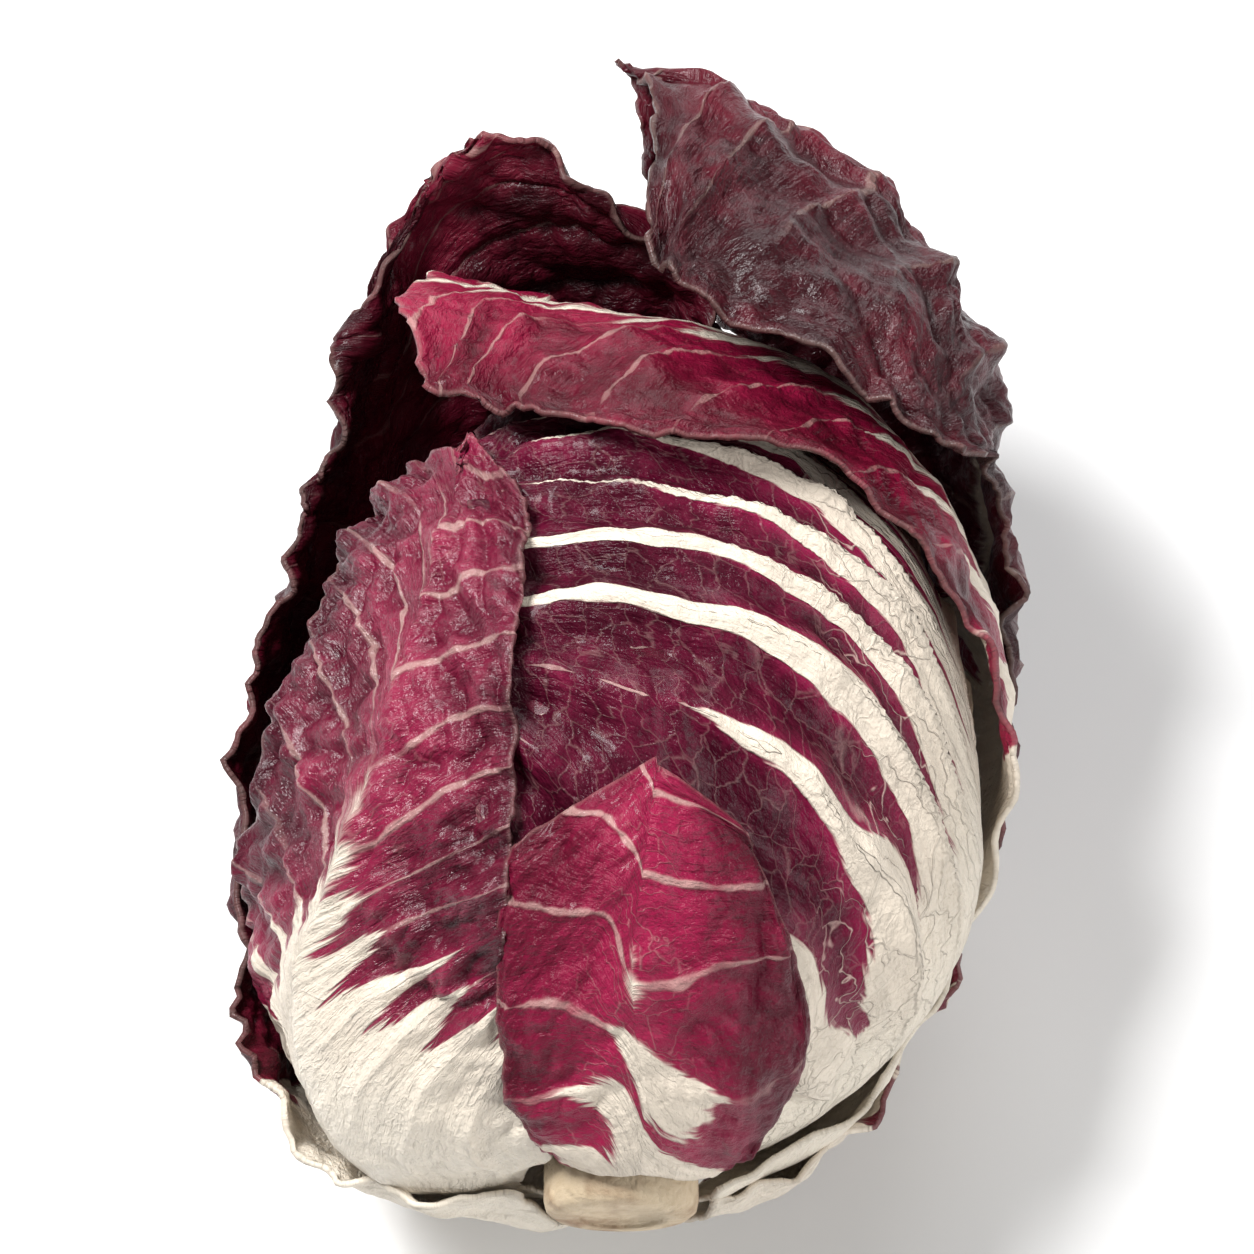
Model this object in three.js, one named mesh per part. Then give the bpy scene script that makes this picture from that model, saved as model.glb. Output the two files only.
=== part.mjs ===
// A small head of red radicchio, lying on its side as it was cut: a short tapered stem with a heart
// bud on it, and twenty-three cupped leaves wrapped round the bud. Each leaf is its own closed solid.
//
// Units are millimetres, +Z is up and the surface that the head lies on is Z = 0. The head's axis
// runs from the cut stem, at -Y, to the leaf tips, at +Y, and the origin is under the middle of the
// head's bounding box.
//
// A place on the head is [angle, turn, lift]: its angle from the cut stem and its turn round the
// axis, in degrees, and how far it stands off its leaf's shell. Turn 0 is on top of the head and 90
// on its right, seen from above with the stem towards the viewer. A leaf is a sheet drawn through
// two or more columns of places, each from the leaf's foot to its tip, from its left margin to its
// right one. A point of it is s, from 0 at the foot to 1 at the tip, and t, from -1 to 1 across.
import * as THREE from "three";

// The head
const TIP_RISE = 7; // degrees that the leaf tips stand above the cut stem
const LENGTHENING = 1.16; // a shell's half length over its half width
const LEAF_THICKNESS = 0.9;
const OUTERMOST_SHELL = 36.8; // half the width of the head's ball
const FLAT_DEPTH = 1.9; // how far the lowest leaf is pressed flat where the head rests
const FACET_SAG = 0.2; // how far a facet may lie inside its shell
const TIP_ROUNDING = 0.05; // how much shorter the margins are than the middle of a leaf

// The stem
const STEM_RADIUS = { cut: 6.6, top: 2.4 };
const STEM_CUT_INSIDE = 3.3; // the cut face stands this far inside the outermost shell's end
const STEM_CLEARANCE = 0.6; // between the stem and the leaf bases

// The bud
const BUD_RADIUS = 6;

// The leaves that show, outermost first, with each leaf's shell: its distance from the head's centre.
const OUTER_LEAVES = [
  {
    // The dark loose leaf on the right: it wraps the far side, stands off past the tips and folds
    // forward over the top right.
    shell: 36.8,
    columns: [
      [
        [15, 112, -2.8], [45, 116, -2], [78, 112, -1.2], [102, 98], [120, 80, 3.5], [118, 52, 2],
        [125, 36, 2], [138, 8, 1.6], [158, 0, 9],
      ],
      [
        [15, 124, -2.8], [45, 128, -2], [80, 124, -1.2], [105, 112, 1], [124, 92, 5], [130, 68, 9],
        [144, 64, 12.5], [158, 45, 15], [167, -10, 20],
      ],
      [
        [15, 138, -2.8], [50, 140, -2], [85, 136, -1], [110, 124, 2], [130, 112, 6],
        [146, 104, 10], [160, 84, 13], [168, 50, 15], [173, 0, 15],
      ],
      [
        [15, 170, -2], [50, 158, -0.8], [85, 150, -0.4], [110, 146], [132, 143], [150, 140, 2],
        [162, 140, 3], [171, 150, 4], [176, 180, 4],
      ],
    ],
  },
  {
    // The dark loose leaf under the head on the left: its tip stands up behind the head as a hood.
    shell: 34.6,
    columns: [
      [
        [15, 160, -1.8], [50, 143, -1.4], [85, 138, -0.4], [115, 142], [140, 146, 1.4], [158, 118, 2.6],
        [165, 74, 4.6], [164, 10, 8.4],
      ],
      [
        [15, -142, -0.4], [42, -146, 2.2], [85, -150], [112, -134], [135, -122, 2], [150, -100, 7],
        [157, -66, 13], [160, -36, 16.5],
      ],
      [
        [15, -86, -0.4], [40, -90, 5], [66, -90, 2.6], [94, -88, -0.6], [116, -86, -0.4],
        [130, -86, 1.4], [140, -84, 5.4], [148, -76, 9],
      ],
    ],
  },
  {
    // The bright leaf from the right-hand side: its blade lies right across the top of the tips.
    shell: 35.2,
    columns: [
      [
        [15, 100, -2.6], [45, 108, -1.8], [72, 104, -1.2], [92, 76], [107, 52], [117, 30],
        [119, 4], [126, -24, 0.5], [127, -52, 10],
      ],
      [
        [15, 118, -2.6], [45, 122, -1.8], [75, 118, -1.2], [100, 102], [122, 86], [140, 68],
        [155, 34], [160, -20, 1], [143, -62, 9],
      ],
      [
        [15, 146, -2.8], [45, 138, -2], [75, 132, -1.2], [100, 128], [122, 124], [140, 122],
        [155, 128], [168, 150], [170, -130, 2],
      ],
    ],
  },
  {
    // The short torn leaf over the middle of the stem end.
    shell: 33.8,
    columns: [
      [[16, -46], [28, -38, 1], [42, -30, 0.6], [56, -25], [71, -17]],
      [[16, 10], [32, 6], [50, 2], [67, 4], [80, 6]],
      [[16, 84, 0.5], [30, 66, 0.9], [46, 48, 0.8], [60, 30, 0.4], [75, 17]],
    ],
  },
  {
    // The leaf on the left, with a broad white foot.
    shell: 32.4,
    columns: [
      [[16, -150, 0.5], [38, -124, 3], [66, -96, 3], [88, -70, 1], [106, -60], [120, -58], [132, -54]],
      [[16, -104], [34, -92, 5], [56, -68, 3.5], [74, -44, 1], [94, -36], [112, -32], [130, -32]],
      [[16, -40], [34, -28], [52, -21], [70, -17], [88, -16], [106, -15], [122, -19]],
    ],
  },
  {
    // The large leaf on the right, whose veins fan over the top from a very broad white midrib.
    shell: 31,
    columns: [
      [[16, 30], [38, -10], [64, -24], [92, -28], [120, -32], [146, -60]],
      [[16, 112], [38, 106, 0.7], [68, 96, 1.2], [94, 78, 0.5], [120, 62], [146, 38]],
      [[16, 160], [40, 152], [70, 140], [98, 130], [122, 124], [146, 120]],
    ],
  },
];

// The leaves inside, which follow a spiral of nested shells. reach is the angle from the stem to the
// leaf's tip, and halfWidth the angle from its midrib to its margin.
const INNER_LEAVES = {
  count: 17,
  outermostShell: 29.4,
  shellStep: 1.38,
  firstTurn: -45,
  turnBetween: 137.5, // the angle at which a stem grows one leaf after another
  reach: { first: 172, last: 130 },
  halfWidth: { first: 68, last: 60 },
  places: 6, // along each column
};

const radians = THREE.MathUtils.degToRad;
const rise = THREE.MathUtils.smoothstep;
const mix = THREE.MathUtils.lerp;

// The head's own directions, in the part's frame.
const alongAxis = new THREE.Vector3(0, Math.cos(radians(TIP_RISE)), Math.sin(radians(TIP_RISE)));
const toTheRight = new THREE.Vector3(1, 0, 0);
const outOfTop = new THREE.Vector3().crossVectors(toTheRight, alongAxis);

// The stem's radius at a distance from the head's centre.
function stemRadiusAt(distance) {
  const share = (distance - BUD_RADIUS) / (OUTERMOST_SHELL - BUD_RADIUS);
  return mix(STEM_RADIUS.top, STEM_RADIUS.cut, THREE.MathUtils.clamp(share, 0, 1));
}

// The least angle from the stem's axis at which a shell is clear of the stem.
function baseAngle(shell) {
  return Math.asin((stemRadiusAt(shell * LENGTHENING) + STEM_CLEARANCE) / shell);
}

// The direction from the head's centre to a place, given by its angle and turn in radians.
function directionTo(angle, turn) {
  const outwards = outOfTop.clone().multiplyScalar(Math.cos(turn));
  outwards.addScaledVector(toTheRight, Math.sin(turn));
  return outwards.multiplyScalar(Math.sin(angle)).addScaledVector(alongAxis, -Math.cos(angle));
}

// A place as a direction from the head's centre, with its lift as the fourth number.
function placeOf([angle, turn, lift = 0]) {
  const direction = directionTo(radians(angle), radians(turn));
  return new THREE.Vector4(direction.x, direction.y, direction.z, lift);
}

// A smooth curve through values a, b, c and d, from b at share 0 to c at share 1.
function smooth(a, b, c, d, share) {
  const slope = c - a;
  const bend = 2 * a - 5 * b + 4 * c - d;
  const twist = 3 * b - a - 3 * c + d;
  return 0.5 * (2 * b + share * (slope + share * (bend + share * twist)));
}

// The point of a column of places at s: its direction and its lift.
function alongColumn(column, s) {
  const last = column.length - 1;
  const i = Math.min(Math.floor(s * last), last - 1);
  const share = s * last - i;
  const before = column[i - 1] ?? column[0].clone().multiplyScalar(2).sub(column[1]);
  const after = column[i + 2] ?? column[last].clone().multiplyScalar(2).sub(column[last - 1]);
  const at = (axis) => smooth(before[axis], column[i][axis], column[i + 1][axis], after[axis], share);
  return { direction: new THREE.Vector3(at("x"), at("y"), at("z")).normalize(), lift: at("w") };
}

// The direction at a share of the way round from one direction to another.
function between(from, to, share) {
  const apart = from.angleTo(to);
  return from
    .clone()
    .multiplyScalar(Math.sin((1 - share) * apart))
    .addScaledVector(to, Math.sin(share * apart))
    .normalize();
}

// The foot of a leaf clasps the stem: what would run into the stem is bent round it.
function clearOfStem(direction, least) {
  const angle = Math.PI - direction.angleTo(alongAxis);
  if (angle >= least) return direction;
  const outwards = direction.addScaledVector(alongAxis, -direction.dot(alongAxis)).normalize();
  return outwards.multiplyScalar(Math.sin(least)).addScaledVector(alongAxis, -Math.cos(least));
}

// A point of a leaf, skin millimetres outside its middle surface.
function leafPoint(leaf, s, t, skin) {
  const reached = s * (1 - TIP_ROUNDING * t * t * s);
  const across = leaf.columns.map((column) => alongColumn(column, reached));
  const last = across.length - 1;
  const x = ((t + 1) / 2) * last;
  const i = Math.min(Math.floor(x), last - 1);
  const direction = between(across[i].direction, across[i + 1].direction, x - i);
  const before = across[Math.max(i - 1, 0)];
  const after = across[Math.min(i + 2, last)];
  const lift = smooth(before.lift, across[i].lift, across[i + 1].lift, after.lift, x - i);
  const point = clearOfStem(direction, baseAngle(leaf.shell));
  point.multiplyScalar(leaf.shell + lift + skin);
  return point.addScaledVector(alongAxis, (LENGTHENING - 1) * point.dot(alongAxis));
}

// The greatest angle between two neighbouring columns, and the angle that a column runs through.
function anglesOf(columns) {
  const directions = columns.map((column) => column.map((p) => new THREE.Vector3(p.x, p.y, p.z)));
  const angles = (some, others) => some.map((direction, i) => direction.angleTo(others[i]));
  const sum = (values) => values.reduce((total, value) => total + value, 0);
  const gaps = directions.slice(1).flatMap((column, i) => angles(column, directions[i]));
  const lengths = directions.map((column) => sum(angles(column.slice(1), column)));
  return { gap: Math.max(...gaps), length: Math.max(...lengths) };
}

// The leaf as a thin box of small faces, bent onto its shell.
function leafGeometry(leaf) {
  const facet = 2 * Math.acos(1 - FACET_SAG / leaf.shell);
  const angles = anglesOf(leaf.columns);
  const rows = Math.ceil(angles.length / facet);
  const columns = (leaf.columns.length - 1) * Math.ceil(angles.gap / facet);
  const geometry = new THREE.BoxGeometry(2, 1, LEAF_THICKNESS, columns, rows, 1);
  const places = geometry.getAttribute("position");
  for (let i = 0; i < places.count; i++) {
    const s = places.getY(i) + 0.5;
    const point = leafPoint(leaf, s, places.getX(i), places.getZ(i));
    if (leaf.restsAt !== undefined) {
      const floor = leaf.restsAt + (places.getZ(i) > 0 ? 0 : LEAF_THICKNESS);
      point.z = Math.max(point.z, floor);
    }
    places.setXYZ(i, point.x, point.y, point.z);
  }
  return geometry;
}

// An inner leaf's half width over its greatest half width: a narrow foot and a round tip.
function outline(s) {
  return mix(0.36, 1, rise(s, 0.1, 0.56)) * mix(1, 0.5, rise(s, 0.6, 1));
}

// An inner leaf's margins and midrib, as columns of places.
function innerColumns(shell, turn, reach, halfWidth) {
  const sideways = directionTo(Math.PI / 2, turn + Math.PI / 2);
  return [-1, 0, 1].map((side) =>
    Array.from({ length: INNER_LEAVES.places }, (_, i) => {
      const s = i / (INNER_LEAVES.places - 1);
      const midrib = directionTo(mix(baseAngle(shell), reach, s), turn);
      const width = side * halfWidth * outline(s);
      const direction = midrib.multiplyScalar(Math.cos(width)).addScaledVector(sideways, Math.sin(width));
      return new THREE.Vector4(direction.x, direction.y, direction.z, 0);
    }),
  );
}

// All the leaves, outermost first.
function allLeaves() {
  const leaves = OUTER_LEAVES.map(({ shell, columns }, i) => ({
    name: `outer_leaf_${i + 1}`,
    shell,
    columns: columns.map((column) => column.map(placeOf)),
  }));
  for (let i = 0; i < INNER_LEAVES.count; i++) {
    const share = i / (INNER_LEAVES.count - 1);
    const shell = INNER_LEAVES.outermostShell - i * INNER_LEAVES.shellStep;
    const turn = radians(INNER_LEAVES.firstTurn + i * INNER_LEAVES.turnBetween);
    const reach = radians(mix(INNER_LEAVES.reach.first, INNER_LEAVES.reach.last, share));
    const halfWidth = radians(mix(INNER_LEAVES.halfWidth.first, INNER_LEAVES.halfWidth.last, share));
    const name = `inner_leaf_${String(i + 1).padStart(2, "0")}`;
    leaves.push({ name, shell, columns: innerColumns(shell, turn, reach, halfWidth) });
  }
  return leaves;
}

function meshOf(name, geometry, material) {
  const mesh = new THREE.Mesh(geometry, material);
  mesh.name = name;
  return mesh;
}

function stemMesh() {
  const from = OUTERMOST_SHELL * LENGTHENING - STEM_CUT_INSIDE;
  const to = BUD_RADIUS * LENGTHENING + 0.5;
  const cutEdge = 0.8;
  const profile = [
    new THREE.Vector2(0, -from),
    new THREE.Vector2(STEM_RADIUS.cut - cutEdge, -from),
    new THREE.Vector2(STEM_RADIUS.cut, -from + cutEdge),
    new THREE.Vector2(STEM_RADIUS.cut, -OUTERMOST_SHELL),
    new THREE.Vector2(STEM_RADIUS.top, -to - 1),
    new THREE.Vector2(0, -to),
  ];
  const geometry = new THREE.LatheGeometry(profile, 20);
  geometry.applyQuaternion(
    new THREE.Quaternion().setFromUnitVectors(new THREE.Vector3(0, 1, 0), alongAxis),
  );
  const cream = new THREE.MeshStandardMaterial({ color: 0xe8dcc0, roughness: 0.6, metalness: 0 });
  return meshOf("stem", geometry, cream);
}

function budMesh() {
  const geometry = new THREE.SphereGeometry(BUD_RADIUS, 14, 10);
  geometry.scale(1, LENGTHENING, 1);
  const pink = new THREE.MeshStandardMaterial({ color: 0xc9889c, roughness: 0.5, metalness: 0 });
  return meshOf("heart_bud", geometry, pink);
}

function lowestOf(leaf) {
  const places = leafGeometry(leaf).getAttribute("position");
  return new THREE.Box3().setFromBufferAttribute(places).min.z;
}

const head = new THREE.Group();
const burgundy = new THREE.MeshStandardMaterial({ color: 0x6d0f33, roughness: 0.38, metalness: 0 });
const leaves = allLeaves();
const lowest = leaves.map(lowestOf);
const floor = Math.min(...lowest) + FLAT_DEPTH;
leaves.forEach((leaf, i) => {
  if (lowest[i] < floor) leaf.restsAt = floor;
  head.add(meshOf(leaf.name, leafGeometry(leaf), burgundy));
});
head.add(stemMesh(), budMesh());

// The origin goes under the middle of the head, on the surface that it lies on.
const box = new THREE.Box3().setFromObject(head);
head.position.set(-(box.min.x + box.max.x) / 2, -(box.min.y + box.max.y) / 2, -box.min.z);

export default head;
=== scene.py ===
import math

import bmesh
import bpy
import numpy as np
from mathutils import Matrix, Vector


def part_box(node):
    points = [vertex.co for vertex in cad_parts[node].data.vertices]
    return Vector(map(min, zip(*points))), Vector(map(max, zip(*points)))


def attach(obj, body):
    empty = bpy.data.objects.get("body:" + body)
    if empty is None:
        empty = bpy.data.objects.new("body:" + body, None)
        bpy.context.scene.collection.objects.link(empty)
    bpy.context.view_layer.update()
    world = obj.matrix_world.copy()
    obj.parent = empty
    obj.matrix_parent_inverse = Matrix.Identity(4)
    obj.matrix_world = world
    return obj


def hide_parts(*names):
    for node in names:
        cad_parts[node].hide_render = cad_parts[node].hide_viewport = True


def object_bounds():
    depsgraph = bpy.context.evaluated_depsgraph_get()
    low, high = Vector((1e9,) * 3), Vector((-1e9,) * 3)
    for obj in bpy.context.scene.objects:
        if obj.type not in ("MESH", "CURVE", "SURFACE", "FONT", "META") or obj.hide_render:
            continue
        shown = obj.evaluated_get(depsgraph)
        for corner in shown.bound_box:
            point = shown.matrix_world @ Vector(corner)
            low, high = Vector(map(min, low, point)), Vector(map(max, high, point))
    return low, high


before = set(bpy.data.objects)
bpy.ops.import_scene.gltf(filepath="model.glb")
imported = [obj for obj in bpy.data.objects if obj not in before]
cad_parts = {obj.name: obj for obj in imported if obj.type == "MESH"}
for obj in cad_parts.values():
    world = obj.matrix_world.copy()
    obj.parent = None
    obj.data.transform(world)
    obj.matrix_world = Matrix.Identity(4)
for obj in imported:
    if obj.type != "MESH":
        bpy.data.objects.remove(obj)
cad_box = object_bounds()
scene = bpy.context.scene

# --- Camera, light and floor -------------------------------------------------------------------------
# The head lies on a plain pale table under soft studio light. A long lens looks down on it from
# the stem end, steeply enough to see over the ball to the loose leaves behind.
low, high = (Vector(corner) for corner in cad_box)
middle = (low + high) / 2
CAMERA_ELEVATION = math.radians(65)
CAMERA_DISTANCE = 0.62
AIM = Vector((0.0, 0.002, middle.z))

lens = bpy.data.cameras.new("camera")
lens.lens = 204
camera = bpy.data.objects.new("camera", lens)
scene.collection.objects.link(camera)
to_camera = Vector((0, -math.cos(CAMERA_ELEVATION), math.sin(CAMERA_ELEVATION)))
camera.location = AIM + CAMERA_DISTANCE * to_camera
camera.rotation_euler = to_camera.to_track_quat("Z", "Y").to_euler()
scene.camera = camera


def softbox(name, place, size, power):
    """A square area light that faces the head."""
    lamp = bpy.data.lights.new(name, "AREA")
    lamp.size = size
    lamp.energy = power
    box = bpy.data.objects.new(name, lamp)
    scene.collection.objects.link(box)
    box.location = place
    box.rotation_euler = (Vector(place) - AIM).to_track_quat("Z", "Y").to_euler()


softbox("key_softbox", (-0.28, 0.10, 0.62), 0.20, 7.0)
softbox("fill_softbox", (0.55, -0.35, 0.45), 0.45, 3.2)
softbox("rim_softbox", (0.10, 0.60, 0.35), 0.30, 2.0)

studio = bpy.data.worlds.new("studio")
studio.use_nodes = True
studio.node_tree.nodes["Background"].inputs["Color"].default_value = (1, 1, 1, 1)
studio.node_tree.nodes["Background"].inputs["Strength"].default_value = 0.2
scene.world = studio
scene.view_settings.view_transform = "Standard"


class Socket:
    """A shader socket that takes part in Python arithmetic."""

    def __init__(self, material, link):
        self.material = material
        self.link = link

    def maths(self, operation, *others):
        values = {0: self, **dict(enumerate(others, 1))}
        return self.material.node("ShaderNodeMath", {"operation": operation}, values)

    def __add__(self, other):
        return self.maths("ADD", other)

    __radd__ = __add__

    def __sub__(self, other):
        return self.maths("SUBTRACT", other)

    def __rsub__(self, other):
        return (self * -1) + other

    def __mul__(self, other):
        return self.maths("MULTIPLY", other)

    __rmul__ = __mul__

    def __truediv__(self, other):
        return self.maths("DIVIDE", other)

    def __pow__(self, other):
        return self.maths("POWER", other)

    def most(self, other):
        return self.maths("MAXIMUM", other)

    def share(self, start, end, low=0.0, high=1.0):
        """Rises smoothly from low to high while the value runs from start to end."""
        values = {"Value": self, "From Min": start, "From Max": end, "To Min": low, "To Max": high}
        return self.material.node("ShaderNodeMapRange", {"interpolation_type": "SMOOTHSTEP"}, values)


class Material:
    """A procedural material, built node by node."""

    def __init__(self, name):
        self.made = bpy.data.materials.new(name)
        self.made.use_nodes = True
        self.tree = self.made.node_tree
        self.surface = self.tree.nodes["Principled BSDF"]

    def node(self, kind, settings=None, values=None, output=0):
        """Adds a node, with its settings first and then its sockets' values or links."""
        made = self.tree.nodes.new(kind)
        for name, setting in (settings or {}).items():
            setattr(made, name, setting)
        for name, value in (values or {}).items():
            self.put(made.inputs[name], value)
        return Socket(self, made.outputs[output])

    def put(self, socket, value):
        if isinstance(value, Socket):
            self.tree.links.new(value.link, socket)
        else:
            socket.default_value = value

    def set(self, **values):
        for name, value in values.items():
            self.put(self.surface.inputs[name.replace("_", " ")], value)

    def noise(self, vector, scale, detail=2.0, roughness=0.5):
        values = {"Vector": vector, "Scale": scale, "Detail": detail, "Roughness": roughness}
        return self.node("ShaderNodeTexNoise", {}, values)

    def cells(self, vector, scale):
        """How far a point lies from the walls of a pattern of cells."""
        settings = {"feature": "DISTANCE_TO_EDGE"}
        return self.node("ShaderNodeTexVoronoi", settings, {"Vector": vector, "Scale": scale})

    def vector(self, x=0.0, y=0.0, z=0.0):
        return self.node("ShaderNodeCombineXYZ", {}, {"X": x, "Y": y, "Z": z})

    def mix(self, factor, first, second):
        """Mixes two colours."""
        colours = [c if isinstance(c, Socket) else (*c, 1) for c in (first, second)]
        values = {0: factor, 6: colours[0], 7: colours[1]}
        return self.node("ShaderNodeMix", {"data_type": "RGBA"}, values, output=2)

    def bump(self, height, distance, strength=1.0):
        values = {"Height": height, "Distance": distance, "Strength": strength}
        return self.node("ShaderNodeBump", {}, values)

    def uv(self, name):
        """The two coordinates of a UV map, as sockets."""
        place = self.node("ShaderNodeUVMap", {"uv_map": name})
        split = self.tree.nodes.new("ShaderNodeSeparateXYZ")
        self.put(split.inputs[0], place)
        return Socket(self, split.outputs["X"]), Socket(self, split.outputs["Y"])

    def value(self, name):
        """A piece's own attribute."""
        return self.node("ShaderNodeAttribute", {"attribute_name": name}, output=2)


table = bmesh.new()
bmesh.ops.create_grid(table, x_segments=1, y_segments=1, size=1.5)
floor_mesh = bpy.data.meshes.new("floor")
table.to_mesh(floor_mesh)
table.free()
floor = bpy.data.objects.new("floor", floor_mesh)
scene.collection.objects.link(floor)
pale = Material("pale_table")
pale.set(Base_Color=(0.82, 0.82, 0.82, 1), Roughness=0.6)
floor.data.materials.append(pale.made)

# --- How a leaf is laid round the head ---------------------------------------------------------------
# Every leaf is a cupped sheet that grows from the stem and wraps the heart bud. A place on the head
# is [angle, turn, lift]: degrees from the cut stem, degrees round the axis with 0 on top and 90 on
# the right, and millimetres off the leaf's shell. A leaf runs through columns of such places.
MM = 0.001
TIP_RISE = math.radians(7)
LENGTHENING = 1.16
STEM_RADIUS = {"cut": 6.6, "top": 2.4}
STEM_CLEARANCE = 0.6
BUD_RADIUS = 6.0
OUTERMOST_SHELL = 36.8

bud_low, bud_high = (np.array(corner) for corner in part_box("heart_bud"))
head_centre = (bud_low + bud_high) / 2 / MM
along_axis = np.array([0, math.cos(TIP_RISE), math.sin(TIP_RISE)])
to_the_right = np.array([1.0, 0, 0])
out_of_top = np.cross(to_the_right, along_axis)


def rise(start, end, x):
    """Goes smoothly from 0 at start to 1 at end."""
    x = np.clip((x - start) / (end - start), 0, 1)
    return x * x * (3 - 2 * x)


def direction_to(angle, turn):
    outwards = math.cos(turn) * out_of_top + math.sin(turn) * to_the_right
    return math.sin(angle) * outwards - math.cos(angle) * along_axis


def place_of(angle, turn, lift=0.0):
    return np.append(direction_to(math.radians(angle), math.radians(turn)), lift)


def smooth(a, b, c, d, share):
    """A smooth curve from b to c, with a before and d after."""
    slope = c - a
    bend = 2 * a - 5 * b + 4 * c - d
    twist = 3 * b - a - 3 * c + d
    return 0.5 * (2 * b + share * (slope + share * (bend + share * twist)))


def along_column(column, s):
    """The directions and lifts of a column of places at the shares s."""
    last = len(column) - 1
    i = np.minimum(np.floor(s * last).astype(int), last - 1)
    share = (s * last - i)[:, None]
    padded = np.vstack([2 * column[0] - column[1], column, 2 * column[-1] - column[-2]])
    found = smooth(padded[i], padded[i + 1], padded[i + 2], padded[i + 3], share)
    found[:, :3] /= np.linalg.norm(found[:, :3], axis=1, keepdims=True)
    return found


def base_angle(shell):
    """The least angle from the stem at which a shell is clear of the stem."""
    share = np.clip((shell * LENGTHENING - BUD_RADIUS) / (OUTERMOST_SHELL - BUD_RADIUS), 0, 1)
    stem = STEM_RADIUS["top"] + share * (STEM_RADIUS["cut"] - STEM_RADIUS["top"])
    return math.asin((stem + STEM_CLEARANCE) / shell)


def lay(columns, shell, s, t):
    """Points of a leaf in millimetres from the head's centre; s and t are grids of one shape."""
    last = len(columns) - 1
    x = (t + 1) / 2 * last
    i = np.clip(np.floor(x).astype(int), 0, last - 1)
    share = (x - i)[..., None]
    flat_s = np.clip(s, 0, 1).ravel()
    across = np.stack([along_column(column, flat_s).reshape(*s.shape, 4) for column in columns])
    rows, cols = np.indices(s.shape)
    before, start = across[np.maximum(i - 1, 0), rows, cols], across[i, rows, cols]
    end, after = across[i + 1, rows, cols], across[np.minimum(i + 2, last), rows, cols]
    apart = np.arccos(np.clip((start[..., :3] * end[..., :3]).sum(-1), -1, 1))[..., None]
    apart = np.maximum(apart, 1e-6)
    towards = np.sin((1 - share) * apart) * start[..., :3] + np.sin(share * apart) * end[..., :3]
    towards /= np.linalg.norm(towards, axis=-1, keepdims=True)
    lift = smooth(before[..., 3:], start[..., 3:], end[..., 3:], after[..., 3:], share)
    least = base_angle(shell)
    axial = (towards @ along_axis)[..., None]
    outwards = towards - axial * along_axis
    outwards /= np.maximum(np.linalg.norm(outwards, axis=-1, keepdims=True), 1e-9)
    clasped = math.sin(least) * outwards - math.cos(least) * along_axis
    towards = np.where(-axial > math.cos(least), clasped, towards)
    point = towards * (shell + lift)
    return point + (LENGTHENING - 1) * (point @ along_axis)[..., None] * along_axis


# --- How a leaf grows: its veins, crinkles and torn margins ------------------------------------------
# A radicchio leaf has a thick fleshy midrib, veins that leave it at a slant and fork, a blade that
# blisters between them, and a thin wavy margin that tears. All of it is drawn on the laid sheet.
randoms = np.random.default_rng(11)
lattice = randoms.permutation(256)
slopes = randoms.normal(size=(256, 3))
slopes /= np.linalg.norm(slopes, axis=1, keepdims=True)


def ripple(points, size, seed=0):
    """Smooth noise from about -1 to 1 whose bumps are about size across."""
    p = np.asarray(points) / size + 17.31 * seed
    cell = np.floor(p).astype(int)
    f = p - cell
    u = f * f * f * (f * (f * 6 - 15) + 10)
    total = 0
    for corner in np.ndindex(2, 2, 2):
        at = (cell + corner) % 256
        which = lattice[(lattice[(lattice[at[..., 0]] + at[..., 1]) % 256] + at[..., 2]) % 256]
        weight = np.prod(np.where(corner, u, 1 - u), axis=-1)
        total = total + weight * (slopes[which] * (f - corner)).sum(-1)
    return 1.7 * total


def flat_point(x, y, z=0.0):
    return np.stack([x, y, z + 0 * x], axis=-1)


def run_lengths(points, axis):
    """How far along an axis of the grid each point lies, in millimetres."""
    steps = np.linalg.norm(np.diff(points, axis=axis), axis=-1)
    start = np.zeros_like(np.take(steps, [0], axis=axis))
    return np.concatenate([start, np.cumsum(steps, axis=axis)], axis=axis)


def places_of(columns):
    """Columns of [angle, turn, lift] as directions and lifts."""
    return [np.array([place_of(*place) for place in column]) for column in columns]


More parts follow.
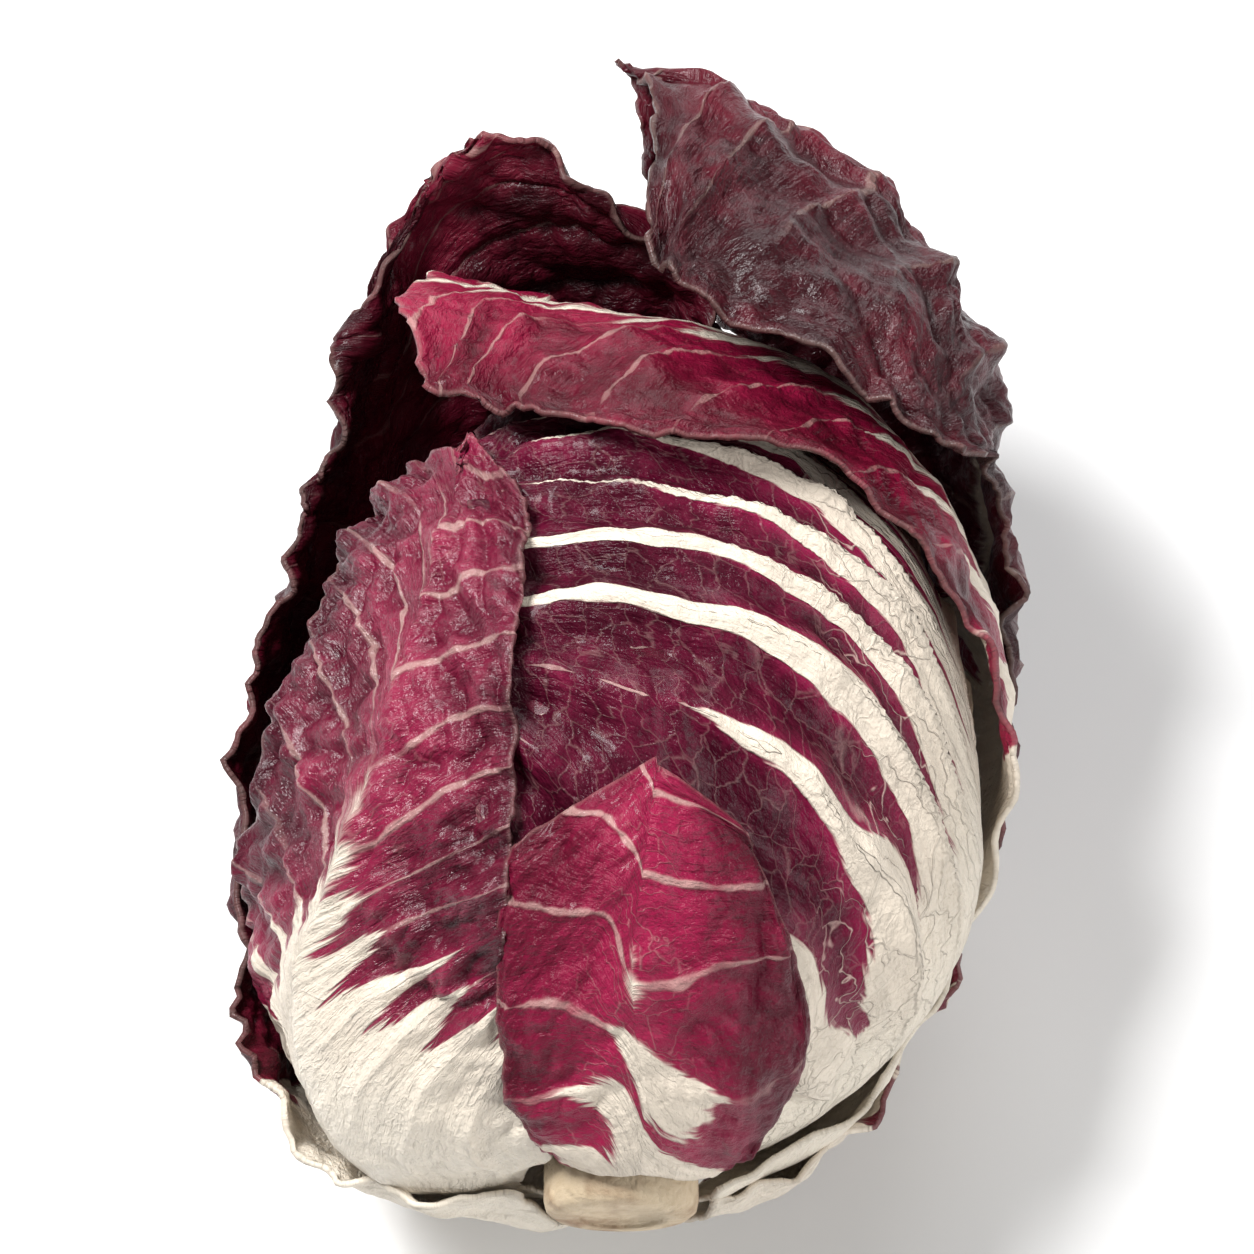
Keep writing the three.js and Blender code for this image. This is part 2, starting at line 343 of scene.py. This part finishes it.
def grow(name, leaf, columns):
    """A leaf's mesh: the laid sheet with its veins, blisters, ruffles and torn margin."""
    across, along = leaf["grid"]
    shell = leaf["shell"]
    sheet = bmesh.new()
    bmesh.ops.create_grid(sheet, x_segments=across, y_segments=along, size=1)
    mesh = bpy.data.meshes.new(name)
    sheet.to_mesh(mesh)
    sheet.free()
    places = np.empty(len(mesh.vertices) * 3)
    mesh.vertices.foreach_get("co", places)
    places = places.reshape(along + 1, across + 1, 3)
    t, s = places[..., 0], places[..., 1] / 2 + 0.5
    seed = leaf["seed"]

    # Millimetres across from the midrib, x, and along it, y.
    plain = lay(columns, shell, s, t)
    centre = across // 2
    x = run_lengths(plain, 1)
    x = x - x[:, centre : centre + 1]
    y = np.broadcast_to(run_lengths(plain, 0)[:, centre : centre + 1], x.shape)
    width = np.abs(np.where(t < 0, x[:, :1], x[:, -1:]))
    length = y[-1, 0]

    # The torn margin: bays and teeth of a few sizes.
    ragged = np.where(t < 0, *leaf["ragged"])
    edge_places = flat_point(np.where(t < 0, -40.0, 40.0) + x * 0, y, seed)
    teeth = ripple(edge_places, 9, seed) * 1.6 + ripple(edge_places, 3.2, seed + 1) * 0.8
    teeth = teeth + np.abs(ripple(edge_places, 1.5, seed + 2)) * 0.7
    near_side = rise(0.80, 1, np.abs(t))
    bite = 0.1 * np.tanh(ragged * (teeth + 2.4) / np.maximum(width, 5) / 0.1)
    t_torn = t * (1 - near_side * bite)
    tip_places = flat_point(x, 90.0 + x * 0, seed)
    notches = ripple(tip_places, 10, seed + 3) * 2.0 + ripple(tip_places, 3.5, seed + 4) * 0.9
    notches = notches + np.abs(ripple(tip_places, 1.5, seed + 5)) * 0.7
    near_tip = rise(0.86, 1, s)
    s_torn = s - near_tip * 0.07 * np.tanh(ragged * (notches + 3.0) / length / 0.07)
    s_torn = s_torn * (1 - leaf.get("rounding", 0.05) * t * t * s)
    base = lay(columns, shell, s_torn, t_torn)

    # The way out of the sheet at each point.
    outwards = np.cross(np.gradient(base, axis=1), np.gradient(base, axis=0))
    outwards /= np.maximum(np.linalg.norm(outwards, axis=-1, keepdims=True), 1e-9)

    # The veins: q is a whole number along each one.
    flat = flat_point(x, y, 31.0 * seed)
    away = np.abs(x)
    slant = leaf["slant"][0] + (leaf["slant"][1] - leaf["slant"][0]) * rise(0.1, 0.6, s)
    climb = y - slant * 3.4 * (away + 0.3) ** 0.62
    q = climb / leaf["spacing"] + 0.5 * np.tanh(x / 3)
    q = q + 0.42 * ripple(flat, 26, 1) + 0.16 * ripple(flat, 9, 2)
    off_vein = np.abs(q - np.round(q))
    vein_reach = rise(0, 9, away) * (1 - rise(0.35, 1.0, away / np.maximum(width, 1)))

    # How far inside the pale midrib a point lies, in millimetres.
    midrib = np.interp(y, *zip(*leaf["midrib"]))
    pale = midrib - away + 2.0 * ripple(flat, 7, 3)
    feathers = np.interp(y, *zip(*leaf["feathers"])) + 0 * x

    # Relief, in millimetres.
    free = rise(*leaf["free"], s) if "free" in leaf else 0 * s
    relief = 1.1 * np.exp(-((away / 3.2) ** 2)) * (1 - s) ** 0.7
    relief = relief + leaf["ribs"] * np.exp(-((off_vein * leaf["spacing"] / 0.8) ** 2)) * vein_reach
    relief = relief - leaf["pleats"] * (off_vein * 2) ** 1.5 * rise(2, 14, away)
    blade = rise(-6, 6, -pale)
    blister = leaf["blister"]
    creases = np.abs(ripple(flat, blister * 2.2, 4)) * 1.5 + np.abs(ripple(flat, blister, 5))
    creases = creases + 0.5 * np.abs(ripple(flat, blister * 0.45, 6))
    relief = relief + leaf["crinkle"] * (creases - 1.3) * (0.25 + 0.75 * blade)
    buckles = ripple(flat_point(x, 0.4 * y, 7.0 * seed), 11, 10)
    relief = relief + leaf.get("buckle", 0.3) * (buckles - 0.3)
    relief = relief + 0.7 * ripple(base, 20, 0) + 0.3 * ripple(base, 9, 0) + leaf.get("stand", -0.6)
    relief = relief + free * (1.5 * ripple(base, 16, seed + 6) + 0.8 * ripple(base, 7, seed + 7))
    to_margin = np.minimum(width - away, length - y)
    ruffle = np.exp(-np.maximum(to_margin, 0) / 5.0)
    waves = ripple(flat, 8, 8) + 0.6 * ripple(flat, 3.6, 9)
    relief = relief + leaf["ruffle"] * ruffle * (waves + 0.3)
    relief = relief - leaf.get("curl", 0) * np.exp(-np.maximum(to_margin, 0) / 2.2)

    points = base + outwards * relief[..., None] + head_centre
    points[..., 2] = np.maximum(points[..., 2], 0.05)
    mesh.vertices.foreach_set("co", (points * MM).ravel())

    corners = np.empty(len(mesh.loops), dtype=int)
    mesh.loops.foreach_get("vertex_index", corners)
    for map_name, u, v in (("veins", q, away), ("flat", x, y)):
        layer = mesh.uv_layers.new(name=map_name)
        both = np.stack([u.ravel()[corners], v.ravel()[corners]], axis=-1)
        layer.uv.foreach_set("vector", both.ravel())
    # The relief goes to the material as hollow, where it paints shade into the creases.
    drawn = {"pale": pale, "feathers": feathers, "margin": to_margin, "hollow": relief}
    for value_name, value in drawn.items():
        layer = mesh.attributes.new(value_name, "FLOAT", "POINT")
        layer.data.foreach_set("value", value.ravel())
    mesh.shade_smooth()
    return mesh


FLESH_THICKNESS = 0.5
CREAM = (0.74, 0.65, 0.54)
PALEST_CREAM = (0.80, 0.74, 0.63)


def finish_leaf(name, mesh, material):
    """Gives the sheet its thickness and its place in the record."""
    piece = bpy.data.objects.new("fine_" + name, mesh)
    scene.collection.objects.link(piece)
    flesh = piece.modifiers.new("flesh", "SOLIDIFY")
    flesh.thickness = FLESH_THICKNESS * MM
    flesh.offset = -1
    flesh.use_even_offset = False
    mesh.materials.append(material.made)
    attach(piece, "root")
    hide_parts(name)


def leaf_material(name, dark, bright, spacing, veining=1.0, gloss=0.34, sheen=0.16):
    """Leaf tissue: a wine-red blade, cream ribs with feathered ends, and a waxy skin."""
    skin = Material(name)
    q, away = skin.uv("veins")
    x, y = skin.uv("flat")
    pale, margin, hollow = skin.value("pale"), skin.value("margin"), skin.value("hollow")
    feathers = skin.value("feathers")
    off_vein = q.maths("PINGPONG", 0.5) * spacing
    on_leaf = skin.vector(x, y, 0.0)

    # Streaks that follow the veins: q runs across them, away runs along them.
    streak_place = skin.vector(q * 5.0, away * 0.10, 0.0)
    streaks = skin.noise(streak_place, 1.0, 3.0, 0.6)
    fine_streaks = skin.noise(skin.vector(q * 16.0, away * 0.16, 3.0), 1.0, 2.0, 0.6)
    patches = skin.noise(on_leaf, 0.10, 3.0, 0.55)

    # The pale midrib ends in long feathers along the veins.
    along_vein = skin.vector(q * 0.9, away * 0.012, 9.0)
    strength = skin.noise(along_vein, 1.0, 1.0).share(0.36, 0.64, 1.05, 1.6)
    near_vein = (1 - off_vein * (2.0 / spacing)).most(0.0) ** 1.4
    frayed = (streaks - 0.5) * 13.0 + (fine_streaks - 0.5) * 9.0
    feather = (near_vein * strength - 0.36) * feathers + frayed * feathers.share(0.0, 12.0, 0.25, 1.0)
    broad = (pale + feather).share(-1.3, 1.3)

    # The veins taper away from the midrib, and fine ones branch off them.
    thin = away.share(2.0, 26.0, 0.42, 0.06)
    wobble = skin.noise(on_leaf, 0.35, 2.0, 0.5)
    vein_line = (off_vein + (wobble - 0.5) * 1.2).share(thin * 1.6, thin * 0.4)
    vein_fade = pale.share(-34.0, -2.0, 0.25, 1.0) * patches.share(0.32, 0.52, 0.35, 1.0)
    branch_place = skin.vector(q * (spacing * 0.42) + (wobble - 0.5) * 2.0, away * 0.17, 0.0)
    branches = skin.cells(branch_place, 1.0)
    branch_line = branches.share(0.035, 0.0) * pale.share(-12.0, -1.0, 0.0, 0.5)
    net_place = skin.vector(x + (wobble - 0.5) * 3.0, y + (streaks - 0.5) * 3.0, 0.0)
    net = skin.cells(net_place, 0.42)
    net_line = net.share(0.05, 0.0) * 0.12
    lines = vein_line * vein_fade
    veins = lines.most(branch_line).most(net_line) * veining

    # The blade is brightest beside the ribs, and painted shade darkens it in its hollows.
    mottle = skin.noise(on_leaf, 0.55, 4.0, 0.65)
    glow = (pale + feather * 0.5).share(-16.0, 2.0) * 0.75 + (mottle - 0.5) * 0.9
    glow = glow + (patches - 0.5) * 1.3 + 0.25
    blade = skin.mix(glow.share(0.0, 1.0), dark, bright)
    # Painted shade: the blade is darkened where its relief sinks into creases and pleats, where shade
    # falls.
    blade = skin.mix(hollow.share(-0.6, -2.6) * 0.45, blade, tuple(c * 0.45 for c in dark))
    # A pale pink, the real tint of the veins and rib edges, also used for the painted margin highlight.
    pink_tint_and_edge_highlight = tuple(0.5 * b + 0.5 * c for b, c in zip(bright, CREAM))
    # Painted highlight: a thin pale pink line along the torn margin, where light catches the leaf's
    # edge.
    blade = skin.mix(margin.share(0.5, 0.05) * 0.14, blade, pink_tint_and_edge_highlight)
    rib_grain = skin.noise(streak_place, 1.7, 2.0).share(0.35, 0.7)
    rib = skin.mix(rib_grain, CREAM, tuple(0.86 * c for c in CREAM))
    rib = skin.mix(pale.share(2.0, 24.0) * 0.5, rib, PALEST_CREAM)
    stained = skin.mix(veins.share(0.0, 0.55), blade, pink_tint_and_edge_highlight)
    veined = skin.mix(veins.share(0.35, 1.0), stained, rib)
    edge_of_rib = skin.mix(broad.share(0.0, 0.6), veined, pink_tint_and_edge_highlight)
    colour = skin.mix(broad.share(0.35, 0.95), edge_of_rib, rib)

    # The skin's own fine wrinkles.
    wrinkles = skin.noise(skin.vector(q * spacing * 0.7, away * 0.35, 5.0), 1.0, 4.0, 0.6)
    pores = skin.noise(on_leaf, 1.4, 3.0, 0.6)
    height = veins * 0.5 + broad * 0.25 + wrinkles * 0.9 + pores * 0.45 + fine_streaks * 0.3
    rough = gloss + (mottle - 0.5) * 0.25 + broad * 0.12
    skin.set(
        Base_Color=colour,
        Roughness=rough.most(0.12),
        Normal=skin.bump(height, 0.0007, 0.9),
        Specular_IOR_Level=sheen,
        Coat_Weight=0.06,
        Coat_Roughness=0.10,
    )
    return skin


def wrap(name, leaf, columns, material):
    """A wrapper leaf, from what it is like and its columns of [angle, turn, lift]."""
    mesh = grow(name, leaf, places_of(columns))
    finish_leaf(name, mesh, material)


# --- The dark loose leaf on the right ----------------------------------------------------------------
# The outermost wrapper leaf, weathered dark and badly crumpled. It wraps the far side of the head,
# stands off past the tips and folds forward over the top right, where its torn margin hangs free.
RIGHT_LOOSE = [
    [
        [15, 112, -2.8], [45, 116, -2], [78, 112, -1.2], [102, 98], [120, 80, 3.5], [118, 52, 2],
        [125, 36, 2], [138, 8, 1.6], [158, 0, 9],
    ],
    [
        [15, 124, -2.8], [45, 128, -2], [80, 124, -1.2], [105, 112, 1], [124, 92, 5], [130, 68, 9],
        [144, 64, 12.5], [158, 45, 15], [167, -10, 20],
    ],
    [
        [15, 138, -2.8], [50, 140, -2], [85, 136, -1], [110, 124, 2], [130, 112, 6],
        [146, 104, 10], [160, 84, 13], [168, 50, 15], [173, 0, 15],
    ],
    [
        [15, 170, -2], [50, 158, -0.8], [85, 150, -0.4], [110, 146], [132, 143], [150, 140, 2],
        [162, 140, 3], [171, 150, 4], [176, 180, 4],
    ],
]
right_loose = {
    "shell": OUTERMOST_SHELL, "grid": (180, 190), "seed": 1, "spacing": 9.0, "slant": (0.9, 0.6),
    "midrib": [(0, 14), (20, 9), (45, 3), (80, 0.8), (110, -2), (160, -4)],
    "feathers": [(0, 12), (45, 6), (70, 0)],
    "ribs": 0.7, "pleats": 0.8, "blister": 5.0, "crinkle": 1.3, "ruffle": 1.6, "ragged": (1.3, 1.3),
    "stand": -0.25,
    "free": (0.42, 0.6),
}
weathered = leaf_material(
    "weathered_leaf", (0.022, 0.0013, 0.0035), (0.120, 0.006, 0.018),
    right_loose["spacing"], veining=0.2, gloss=0.33, sheen=0.3,
)
wrap("outer_leaf_1", right_loose, RIGHT_LOOSE, weathered)

# --- The dark loose leaf under the head on the left --------------------------------------------------
# The second wrapper leaf carries the head's weight. Its tip stands up behind the head as a hood with
# its inner face to the front, and its white foot bulges at the lower left.
LEFT_HOOD = [
    [
        [15, 160, -1.8], [50, 143, -1.4], [85, 138, -0.4], [115, 142], [140, 146, 1.4], [158, 118, 2.6],
        [165, 74, 4.6], [164, 10, 8.4],
    ],
    [
        [15, -142, -0.4], [42, -146, 2.2], [85, -150], [112, -134], [135, -122, 2], [150, -100, 7],
        [157, -66, 13], [160, -36, 16.5],
    ],
    [
        [15, -86, -0.4], [40, -90, 5], [66, -90, 2.6], [94, -88, -0.6], [116, -86, -0.4],
        [130, -86, 1.4], [140, -84, 5.4], [148, -76, 9],
    ],
]
left_hood = {
    "shell": 34.6, "grid": (190, 180), "seed": 2, "spacing": 9.0, "slant": (0.9, 0.6),
    "midrib": [(0, 40), (26, 40), (40, 12), (60, 2), (80, 0), (100, -3), (160, -4)],
    "feathers": [(0, 14), (36, 14), (60, 3), (80, 0)],
    "ribs": 0.7, "pleats": 0.5, "blister": 5.0, "crinkle": 1.2, "ruffle": 1.6, "ragged": (0.8, 0.8),
    "free": (0.55, 0.75),
}
hooded = leaf_material(
    "hood_leaf", (0.026, 0.0015, 0.0045), (0.170, 0.007, 0.026),
    left_hood["spacing"], veining=0.2, gloss=0.36,
)
wrap("outer_leaf_2", left_hood, LEFT_HOOD, hooded)

# --- The bright leaf across the tips -----------------------------------------------------------------
# A fresher leaf from the right-hand side whose blade lies right across the top of the tips. Its torn
# left margin is free, and its cream midrib runs up the right flank.
ACROSS = [
    [
        [15, 100, -2.6], [45, 108, -1.8], [72, 104, -1.2], [92, 76], [107, 52], [117, 30],
        [119, 4], [126, -24, 0.5], [127, -52, 10],
    ],
    [
        [15, 118, -2.6], [45, 122, -1.8], [75, 118, -1.2], [100, 102], [122, 86], [140, 68],
        [155, 34], [160, -20, 1], [143, -62, 9],
    ],
    [
        [15, 146, -2.8], [45, 138, -2], [75, 132, -1.2], [100, 128], [122, 124], [140, 122],
        [155, 128], [168, 150], [170, -130, 2],
    ],
]
across_tips = {
    "shell": 35.2, "grid": (185, 185), "seed": 3, "spacing": 8.0, "slant": (0.2, 0.9),
    "midrib": [(0, 40), (35, 36), (50, 24), (60, 11), (75, 4), (110, 1)],
    "feathers": [(0, 20), (60, 20), (80, 8), (100, 3)],
    "ribs": 0.3, "pleats": 0.5, "blister": 4.5, "crinkle": 0.7, "ruffle": 0.9,
    "ragged": (1.8, 1.8), "buckle": 0.6,
    "free": (0.8, 0.95),
}
bright = leaf_material(
    "bright_leaf", (0.060, 0.0016, 0.008), (0.260, 0.006, 0.040),
    across_tips["spacing"], veining=0.28, gloss=0.36, sheen=0.24,
)
wrap("outer_leaf_3", across_tips, ACROSS, bright)

# --- The short torn leaf at the stem end -------------------------------------------------------------
# A small basal leaf, torn short, that lies flat over the middle of the stem end. It is wine red almost
# to its foot, with a few fine pale veins.
SHORT = [
    [[16, -46], [28, -38, 1], [42, -30, 0.6], [56, -25], [71, -17]],
    [[16, 10], [32, 6], [50, 2], [67, 4], [80, 6]],
    [[16, 84, 0.5], [30, 66, 0.9], [46, 48, 0.8], [60, 30, 0.4], [75, 17]],
]
short = {
    "shell": 33.8, "grid": (130, 130), "seed": 4, "spacing": 9.0, "slant": (0.5, 0.7),
    "midrib": [(0, 6), (8, 2.5), (16, -0.6), (40, -3)],
    "feathers": [(0, 10), (14, 7), (22, 0.5)],
    "ribs": 0.35, "pleats": 0.4, "blister": 4.0, "crinkle": 0.7, "ruffle": 0.5,
    "ragged": (0.5, 1.6), "curl": 1.0, "buckle": 0.6,
}
torn = leaf_material(
    "torn_leaf", (0.085, 0.003, 0.014), (0.270, 0.009, 0.050),
    short["spacing"], veining=0.35, gloss=0.34,
)
wrap("outer_leaf_4", short, SHORT, torn)

# --- The crinkled leaf on the left -------------------------------------------------------------------
# A narrow wrapped leaf with a blistered blade above and a broad, white, fleshy foot that bulges at the
# lower left. Its right margin curls up a little.
CRINKLED = [
    [[16, -150, 0.5], [38, -124, 3], [66, -96, 3], [88, -70, 1], [106, -60], [120, -58], [132, -54]],
    [[16, -104], [34, -92, 5], [56, -68, 3.5], [74, -44, 1], [94, -36], [112, -32], [130, -32]],
    [[16, -40], [34, -28], [52, -21], [70, -17], [88, -16], [106, -15], [122, -19]],
]
crinkled = {
    "shell": 32.4, "grid": (170, 200), "seed": 5, "spacing": 7.5, "slant": (0.9, 0.8),
    "midrib": [(0, 30), (20, 26), (29, 11), (36, 4), (44, 0.5), (60, -1.5), (90, -2)],
    "feathers": [(0, 14), (30, 13), (40, 4), (50, 0.5)],
    "ribs": 0.4, "pleats": 0.4, "blister": 3.6, "crinkle": 1.25, "ruffle": 0.9,
    "ragged": (0.8, 0.1), "curl": -0.2, "buckle": 1.2,
}
blistered = leaf_material(
    "crinkled_leaf", (0.050, 0.0024, 0.010), (0.230, 0.009, 0.045),
    crinkled["spacing"], veining=0.3, gloss=0.3, sheen=0.4,
)
wrap("outer_leaf_5", crinkled, CRINKLED, blistered)

# --- The large leaf with the broad white midrib ------------------------------------------------------
# The biggest leaf that shows. Its fleshy cream midrib runs up the right flank, and veins fan from it
# over the top, with magenta blade between them that ends in feathers against the white.
LARGE = [
    [[16, 30], [38, -10], [64, -24], [92, -28], [120, -32], [146, -60]],
    [[16, 112], [38, 106, 0.7], [68, 96, 1.2], [94, 78, 0.5], [120, 62], [146, 38]],
    [[16, 160], [40, 152], [70, 140], [98, 130], [122, 124], [146, 120]],
]
large = {
    "shell": 31.0, "grid": (200, 175), "seed": 6, "spacing": 8.0, "slant": (0.25, 0.8),
    "buckle": 0.8,
    "midrib": [(0, 36), (14, 30), (28, 24), (46, 16), (58, 12), (72, 5), (90, 1)],
    "feathers": [(0, 16), (20, 22), (45, 34), (70, 38), (100, 10)],
    "ribs": 0.9, "pleats": 1.8, "blister": 5.0, "crinkle": 0.8, "ruffle": 0.3, "ragged": (0.5, 0.5),
}
fanned = leaf_material(
    "fanned_leaf", (0.050, 0.0022, 0.011), (0.270, 0.010, 0.058), large["spacing"], gloss=0.33,
)
wrap("outer_leaf_6", large, LARGE, fanned)

# --- The leaves inside -------------------------------------------------------------------------------
# Nested cupped leaves that fill the head, each 137.5 degrees round the stem from the last. Only the
# first few show, in the gaps between the wrapper leaves.
INNER_COUNT = 17
INNER_TURN = 137.5
# How far inside its shell an inner leaf lies, clear of the crinkles of the leaves round it.
INNER_INSET = 0.8
INNER_SPACING = 7.0
inner_skin = leaf_material(
    "heart_leaf", (0.035, 0.002, 0.007), (0.150, 0.008, 0.030),
    INNER_SPACING, veining=0.5, gloss=0.38,
)


def inner_places(shell, turn, reach, half_width):
    """The two margins and the midrib of an inner leaf, from foot to tip."""
    columns = []
    for side in (-1, 0, 1):
        column = []
        for s in np.linspace(0, 1, 6):
            outline = (0.36 + 0.64 * rise(0.1, 0.56, s)) * (1 - 0.5 * rise(0.6, 1, s))
            offset = side * half_width * outline
            ahead = direction_to(base_angle(shell) + s * (reach - base_angle(shell)), turn)
            sideways = direction_to(math.pi / 2, turn + math.pi / 2)
            column.append(np.append(math.cos(offset) * ahead + math.sin(offset) * sideways, 0))
        columns.append(np.array(column))
    return columns


for number in range(INNER_COUNT):
    share = number / (INNER_COUNT - 1)
    shell = 29.4 - 1.38 * number
    turn = math.radians(-45 + INNER_TURN * number)
    reach = math.radians(172 + share * (130 - 172))
    half_width = math.radians(68 + share * (60 - 68))
    inner = {
        "shell": shell - INNER_INSET, "grid": (48, 56) if number < 3 else (28, 34),
        "seed": 20 + number, "spacing": INNER_SPACING, "slant": (0.8, 0.7),
        "midrib": [(0, 12), (20, 7), (45, 2), (90, 0.5)],
        "feathers": [(0, 12), (40, 6), (60, 1)],
        "ribs": 0.3, "pleats": 0.2, "blister": 5.0, "crinkle": 0.15, "ruffle": 0.2,
        "ragged": (0.3, 0.3),
    }
    name = f"inner_leaf_{number + 1:02d}"
    mesh = grow(name, inner, inner_places(shell, turn, reach, half_width))
    finish_leaf(name, mesh, inner_skin)

# --- The stem ----------------------------------------------------------------------------------------
# The short solid stem that the leaves grow from, cut across when the head was picked. The cut has dried
# to tan, with darker brown stains.
CUT_INSIDE = 3.3
stem_skin = Material("cut_stem")
place = stem_skin.node("ShaderNodeTexCoord", output=3)
grain = stem_skin.noise(place, 900.0, 4.0, 0.6)
stains = stem_skin.noise(place, 160.0, 3.0, 0.6)
flesh_colour = stem_skin.mix(grain, (0.66, 0.54, 0.38), (0.50, 0.38, 0.24))
stem_colour = stem_skin.mix(stains.share(0.45, 0.7), flesh_colour, (0.26, 0.15, 0.08))
stem_skin.set(
    Base_Color=stem_colour,
    Roughness=0.55 + grain * 0.2,
    Normal=stem_skin.bump(grain + stains, 0.0006, 0.8),
)
stem_bmesh = bmesh.new()
cut_at = OUTERMOST_SHELL * LENGTHENING - CUT_INSIDE
# Each ring of the stem: its share of the cut's radius, and its height over the cut in millimetres.
rings = [
    (0.55, 0.25), (0.75, 0.15), (0.88, 0.0), (0.97, -0.5),
    (1.0, -1.3), (0.99, -4.0), (0.96, -8.0), (0.3, -36.0),
]
radius = STEM_RADIUS["cut"] * rings[0][0]
bmesh.ops.create_circle(stem_bmesh, cap_ends=True, segments=96, radius=radius)
edges = [edge for edge in stem_bmesh.edges if edge.is_boundary]
for share, height in rings:
    grown = bmesh.ops.extrude_edge_only(stem_bmesh, edges=edges)["geom"]
    edges = [part for part in grown if isinstance(part, bmesh.types.BMEdge)]
    ring = [part for part in grown if isinstance(part, bmesh.types.BMVert)]
    wanted = STEM_RADIUS["cut"] * share
    for vertex in ring:
        vertex.co.xy *= wanted / radius
        vertex.co.z = height
    radius = wanted
    edges = [edge for edge in edges if edge.is_boundary]
bmesh.ops.contextual_create(stem_bmesh, geom=edges)
bmesh.ops.recalc_face_normals(stem_bmesh, faces=stem_bmesh.faces)
axis_turn = Vector(-along_axis).to_track_quat("Z", "Y").to_matrix()
for vertex in stem_bmesh.verts:
    at = np.array(vertex.co) * 60
    vertex.co *= 1 + 0.012 * float(ripple(at, 90, 3))
    vertex.co = axis_turn @ vertex.co + Vector(-along_axis * cut_at + head_centre)
    vertex.co *= MM
stem_mesh = bpy.data.meshes.new("stem")
stem_bmesh.to_mesh(stem_mesh)
stem_bmesh.free()
stem_mesh.shade_smooth()
stem_mesh.materials.append(stem_skin.made)
stem = bpy.data.objects.new("fine_stem", stem_mesh)
scene.collection.objects.link(stem)
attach(stem, "root")
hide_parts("stem")

# --- The heart bud -----------------------------------------------------------------------------------
# The tight bud of unopened leaves at the top of the stem, sealed inside the head.
bud_skin = Material("heart_bud")
bud_place = bud_skin.node("ShaderNodeTexCoord", output=3)
folds = bud_skin.noise(bud_place, 500.0, 3.0, 0.6)
bud_skin.set(
    Base_Color=bud_skin.mix(folds.share(0.35, 0.65), (0.72, 0.55, 0.45), (0.40, 0.05, 0.12)),
    Roughness=0.4 + folds * 0.2,
    Normal=bud_skin.bump(folds, 0.0008, 0.8),
)
bud_bmesh = bmesh.new()
bmesh.ops.create_uvsphere(bud_bmesh, u_segments=48, v_segments=32, radius=BUD_RADIUS)
for vertex in bud_bmesh.verts:
    out = np.array(vertex.co) / BUD_RADIUS
    swell = 1 - 0.10 * abs(math.sin(2.5 * math.atan2(out[0], out[2]) + 3 * out[1]))
    vertex.co = Vector((np.array(vertex.co) * swell * (1, LENGTHENING, 1) + head_centre) * MM)
bud_mesh = bpy.data.meshes.new("bud")
bud_bmesh.to_mesh(bud_mesh)
bud_bmesh.free()
bud_mesh.shade_smooth()
bud_mesh.materials.append(bud_skin.made)
bud = bpy.data.objects.new("fine_bud", bud_mesh)
scene.collection.objects.link(bud)
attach(bud, "root")
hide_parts("heart_bud")
